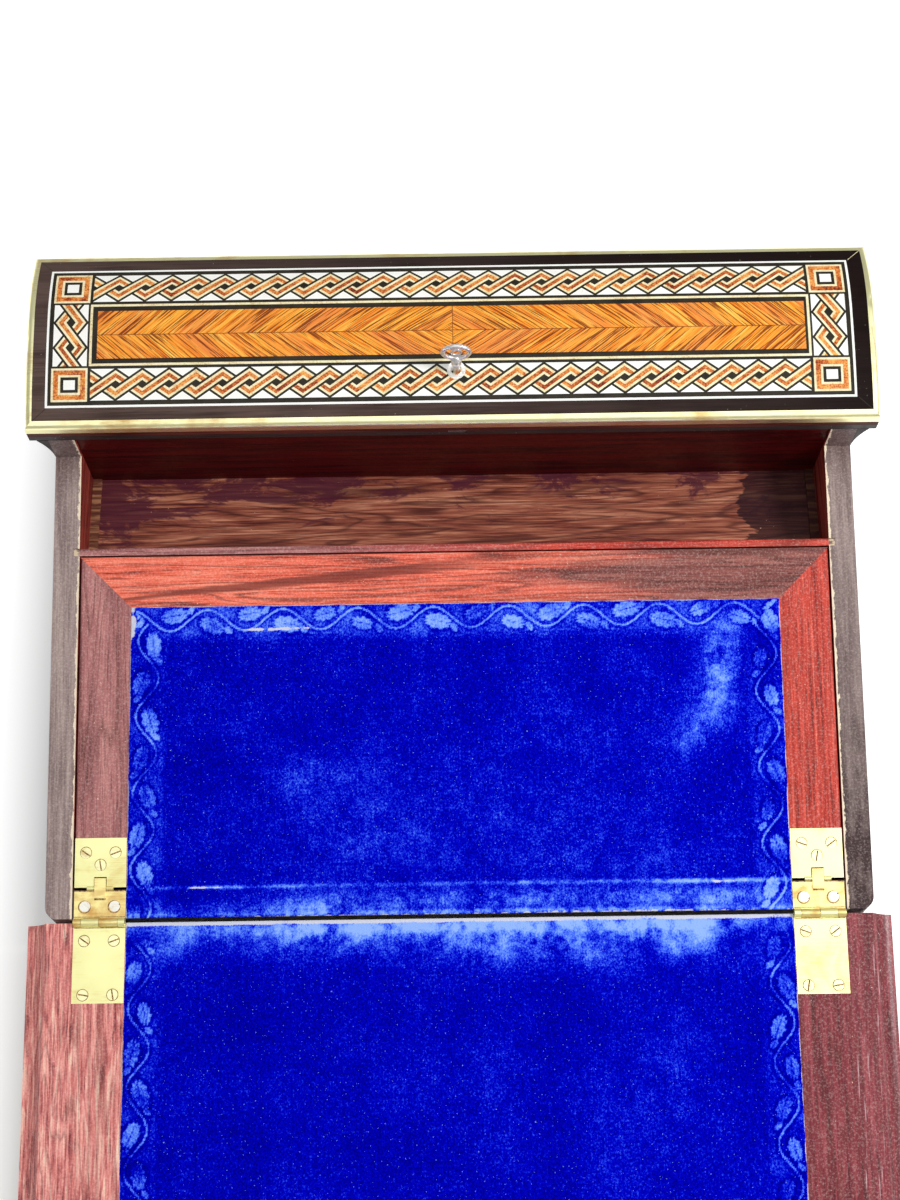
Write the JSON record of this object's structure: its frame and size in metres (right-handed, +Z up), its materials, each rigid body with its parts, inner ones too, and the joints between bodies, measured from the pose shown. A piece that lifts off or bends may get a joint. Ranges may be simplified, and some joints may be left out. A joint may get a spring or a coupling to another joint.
{
  "type": "writing slope",
  "caption": "Portable writing slope with hinged velvet writing flaps, pen tray, inkwells and a barrel-topped marquetry lid with its lock and key.",
  "frame": {"origin": "centre of the box's underside, on the table", "axes": "+X to the writer's right, +Y towards the back lid, +Z up"},
  "size_m": [0.368, 0.4877, 0.1551],
  "materials": {
    "ebonised_wood": "satin, worn at the edges",
    "carcase_wood": "waxed, ink stained",
    "maroon_wood": "stained and waxed",
    "rosewood": "french polished, worn",
    "marquetry": "french polished veneer",
    "velvet": "worn cotton velvet with an embossed border",
    "brass": "satin, tarnished",
    "steel": "nickelled",
    "glass": "clear moulded"
  },
  "bodies": {
    "body": {"base_board": "carcase_wood", "side_left": "ebonised_wood", "side_right": "ebonised_wood", "front_board": "ebonised_wood", "back_board": "ebonised_wood", "under_lid_mouldings": "ebonised_wood", "tray_floor": "carcase_wood", "pen_tray_back_wall": "maroon_wood", "flap_rest_rail": "rosewood", "tray_end_strips": "carcase_wood", "flap_ledges": "carcase_wood", "ink_dividers": "carcase_wood", "ink_bottles": "glass", "inkwell_collars": "brass", "front_board_velvet": "velvet", "front_hinge_leaves": "brass", "box_hinge_screws": "brass", "hinge_pins": "brass", "lid_hinge_box_leaves": "brass"},
    "upper_flap": {"upper_panel": "carcase_wood", "upper_velvet": "velvet", "upper_stile_left": "rosewood", "upper_stile_right": "rosewood", "upper_top_rail": "rosewood", "upper_hinge_leaves": "brass", "upper_hinge_screws": "brass"},
    "lower_flap": {"lower_panel": "carcase_wood", "lower_velvet": "velvet", "lower_strip_left": "rosewood", "lower_strip_right": "rosewood", "lower_inner_rail": "rosewood", "lower_side_left": "rosewood", "lower_side_right": "rosewood", "lower_end_rail": "rosewood", "lower_hinge_rail": "carcase_wood", "lower_outer_board": "carcase_wood", "lower_marquetry": "marquetry", "lower_brass_near": "brass", "lower_brass_far": "brass", "lower_brass_sides": "brass", "lower_hinge_leaves": "brass", "lower_hinge_screws": "brass", "strike_plate": "brass"},
    "rear_lid": {"lid_board": "carcase_wood", "lid_marquetry": "marquetry", "lid_front_rail": "ebonised_wood", "lid_back_rail": "ebonised_wood", "lid_end_rails": "ebonised_wood", "lid_brass_front": "brass", "lid_brass_back": "brass", "lid_brass_ends": "brass", "lid_hinge_lid_leaves": "brass", "lid_hinge_screws": "brass", "lock_case": "brass", "keyhole_escutcheon": "steel"},
    "lock_bolt": {"lock_bolt": "steel"},
    "key": {"key": "steel"},
    "cap_left": {"inkwell_cap_left": "brass"},
    "cap_right": {"inkwell_cap_right": "brass"}
  },
  "joints": [
    {"name": "lower_flap_hinge", "type": "hinge", "parent": "body", "child": "lower_flap", "pos_m": [0, -0.14167, 0.05876], "axis": [1, 0, 0], "range_deg": [-176.96, 0]},
    {"name": "upper_flap_hinge", "type": "hinge", "parent": "body", "child": "upper_flap", "pos_m": [0, -0.12738, 0.06077], "axis": [1, 0, 0], "range_deg": [0, 78]},
    {"name": "rear_lid_hinge", "type": "hinge", "parent": "body", "child": "rear_lid", "pos_m": [0, 0.1422, 0.11678], "axis": [-1, 0, 0], "range_deg": [0, 100]},
    {"name": "key_turn", "type": "hinge", "parent": "rear_lid", "child": "key", "pos_m": [0.002, 0.08, 0.1336], "axis": [0, 0, -1], "range_deg": [0, 180]},
    {"name": "bolt_slide", "type": "slide", "parent": "rear_lid", "child": "lock_bolt", "axis": [0, -1, 0], "range_m": [0, 0.005]},
    {"name": "cap_left_hinge", "type": "hinge", "parent": "body", "child": "cap_left", "pos_m": [-0.1415, 0.1182, 0.10398], "axis": [-1, 0, 0], "range_deg": [0, 75]},
    {"name": "cap_right_hinge", "type": "hinge", "parent": "body", "child": "cap_right", "pos_m": [0.1415, 0.1182, 0.10398], "axis": [-1, 0, 0], "range_deg": [0, 75]}
  ],
  "couplings": [
    {"joint": "key_turn", "follows": "bolt_slide", "rad_per_m": 628.32}
  ]
}
